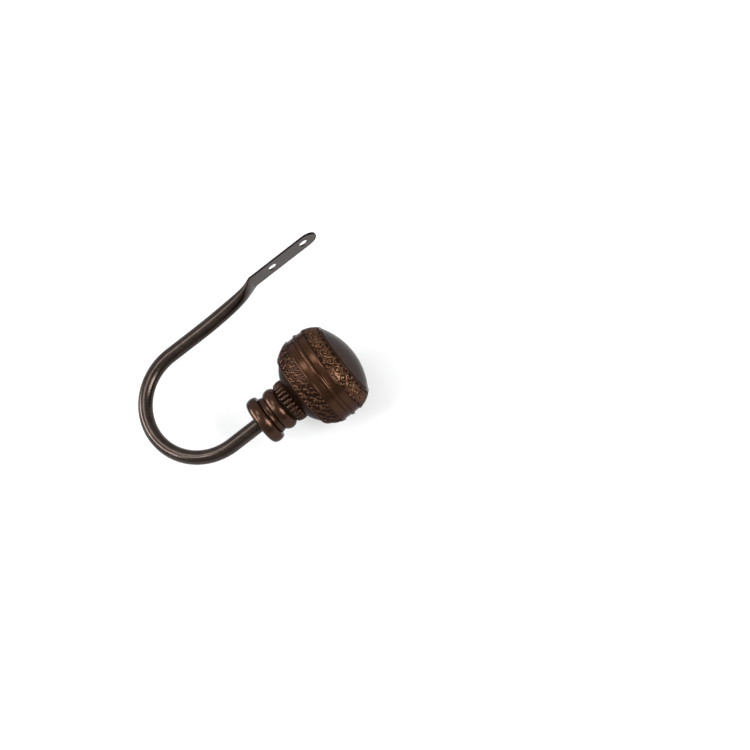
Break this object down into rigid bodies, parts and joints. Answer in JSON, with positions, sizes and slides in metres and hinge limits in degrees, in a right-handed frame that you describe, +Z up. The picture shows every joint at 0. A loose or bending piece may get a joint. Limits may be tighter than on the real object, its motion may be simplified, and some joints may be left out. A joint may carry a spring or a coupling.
{
  "type": "curtain holdback",
  "caption": "U-shaped curtain holdback: bent steel tube with a flattened two-hole wall tongue and a turned ball finial with a ringed neck.",
  "frame": {"origin": "midpoint between the two screw holes, on the tongue's face that goes against the wall", "axes": "+Y into the wall, so the room is towards -Y; +X along the line of the two holes towards the tongue's tip and the finial's dome; +Z up, square to the plane of the U"},
  "size_m": [0.1676, 0.1157, 0.0644],
  "materials": {
    "arm_bronze": "satin oil-rubbed bronze lacquer, greyer on the flat tongue",
    "finial_bronze": "cast resin with a glossy oil-rubbed bronze coat, lighter on the raised ornament",
    "zinc_steel": "zinc plated"
  },
  "bodies": {
    "root": {"arm": "arm_bronze", "finial": "finial_bronze", "threaded_insert": "zinc_steel", "stud": "zinc_steel"}
  },
  "joints": []
}
